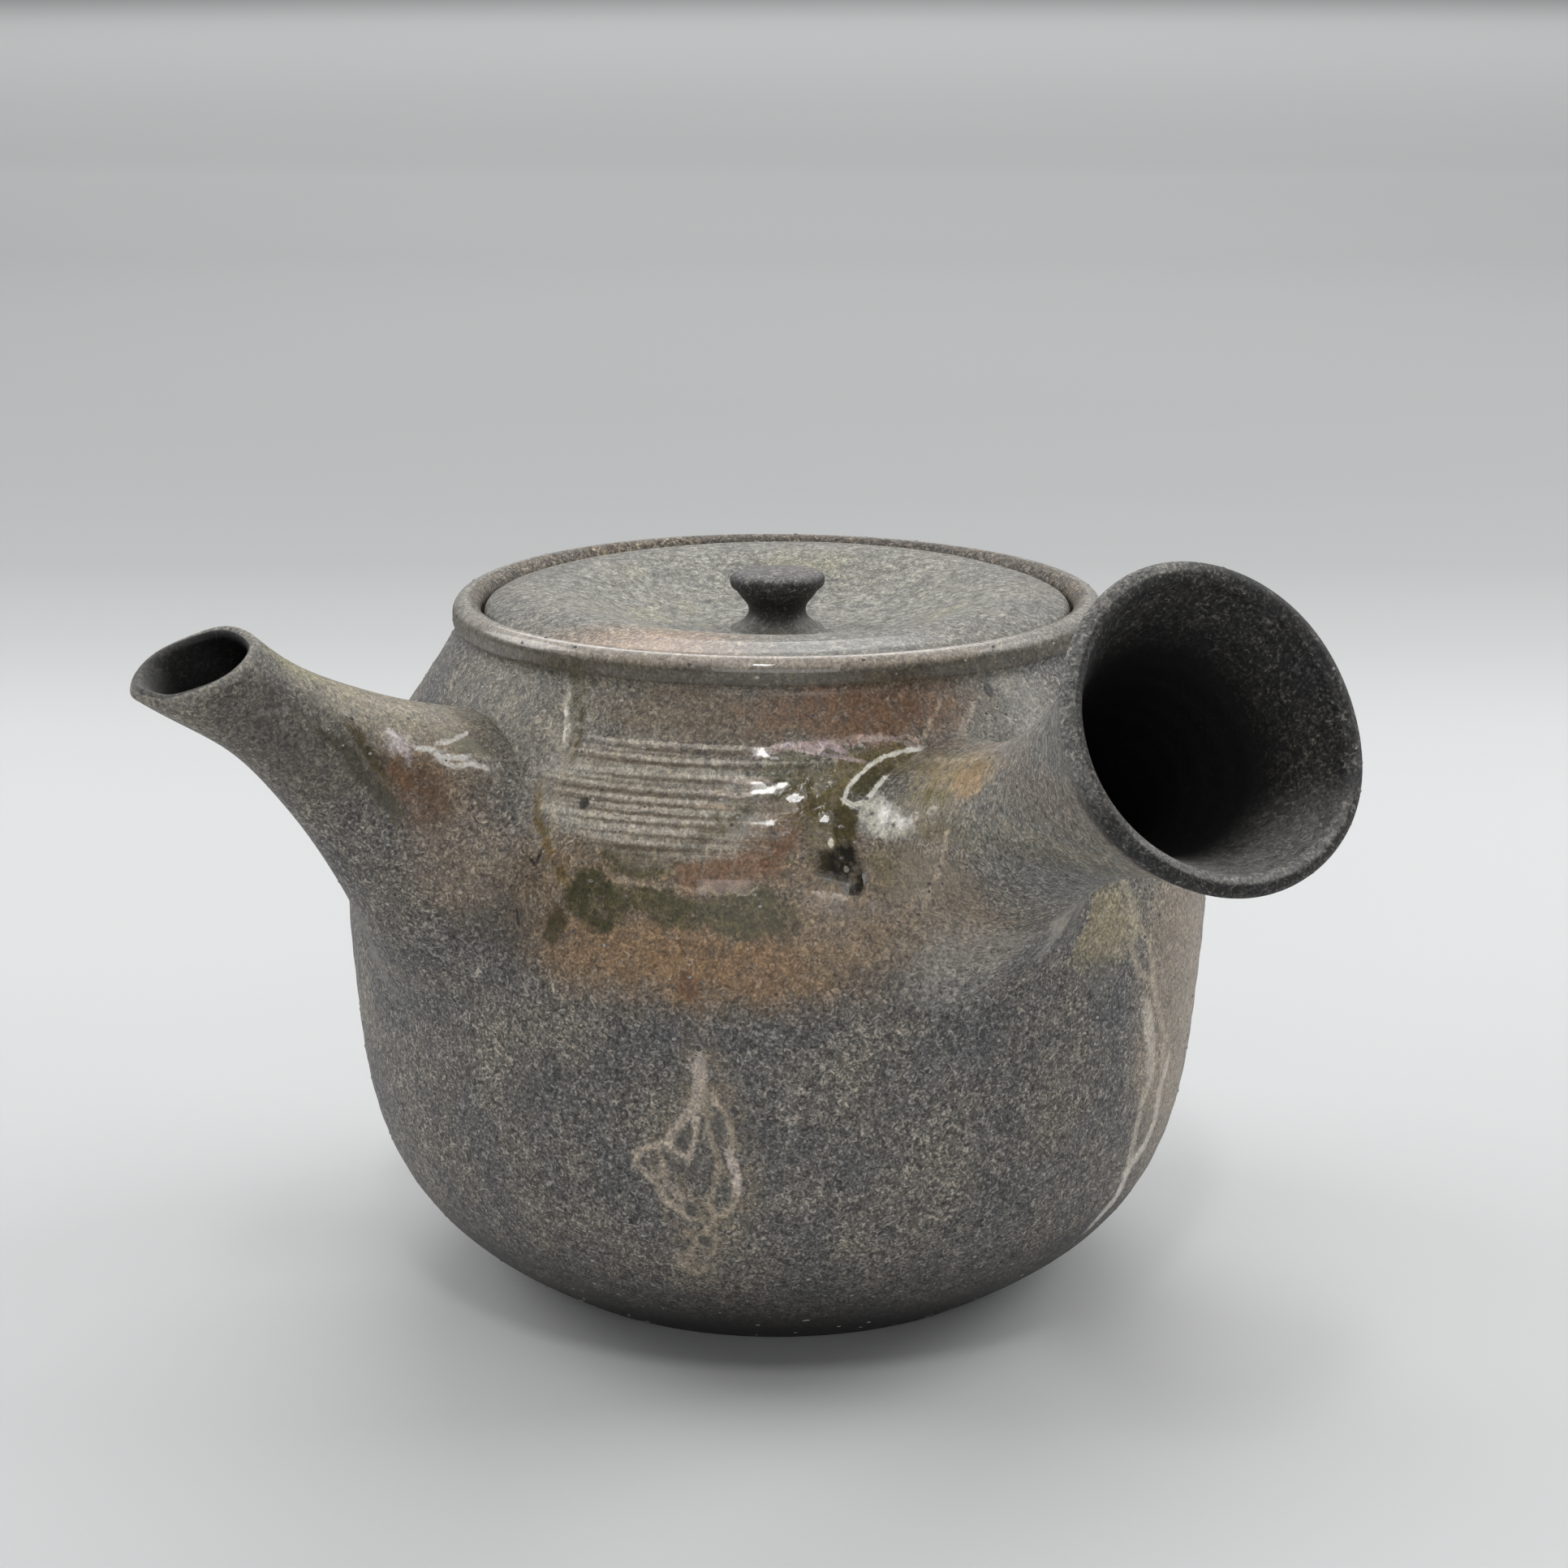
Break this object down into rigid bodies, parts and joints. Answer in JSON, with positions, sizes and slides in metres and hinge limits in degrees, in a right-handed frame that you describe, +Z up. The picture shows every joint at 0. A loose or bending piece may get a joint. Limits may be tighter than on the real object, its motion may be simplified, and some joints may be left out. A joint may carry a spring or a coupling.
{
  "type": "side-handle teapot",
  "caption": "Round stoneware teapot with a lifting dished lid, an upturned spout with a pierced strainer dome, and a hollow trumpet side handle.",
  "frame": {"origin": "on the pot's axis at the flat foot that it stands on", "axes": "+Z up along the pot's axis, -X along the spout, the handle to the -Y side"},
  "size_m": [0.1275, 0.1421, 0.0949],
  "materials": {
    "ash_glazed_body": "grey gritty stoneware with glossy olive and amber wood-ash glaze on the shoulder",
    "smoked_handle_clay": "dry smoked grey-brown clay, darker inside the trumpet",
    "ash_dusted_lid": "pale grey-green dusting of ash on grey clay, satin",
    "dark_knob_clay": "dark charcoal clay, satin",
    "bare_inner_clay": "bare grey clay, matte"
  },
  "bodies": {
    "pot": {"body_shell": "ash_glazed_body", "spout": "ash_glazed_body", "spout_root_clay": "ash_glazed_body", "strainer": "bare_inner_clay", "handle": "smoked_handle_clay", "handle_root_clay": "ash_glazed_body"},
    "lid": {"lid_plate": "ash_dusted_lid", "lid_flange": "bare_inner_clay", "lid_knob": "dark_knob_clay"}
  },
  "joints": [
    {"name": "lid_lift", "type": "slide", "parent": "pot", "child": "lid", "axis": [0, 0, 1], "range_m": [0, 0.03]}
  ]
}
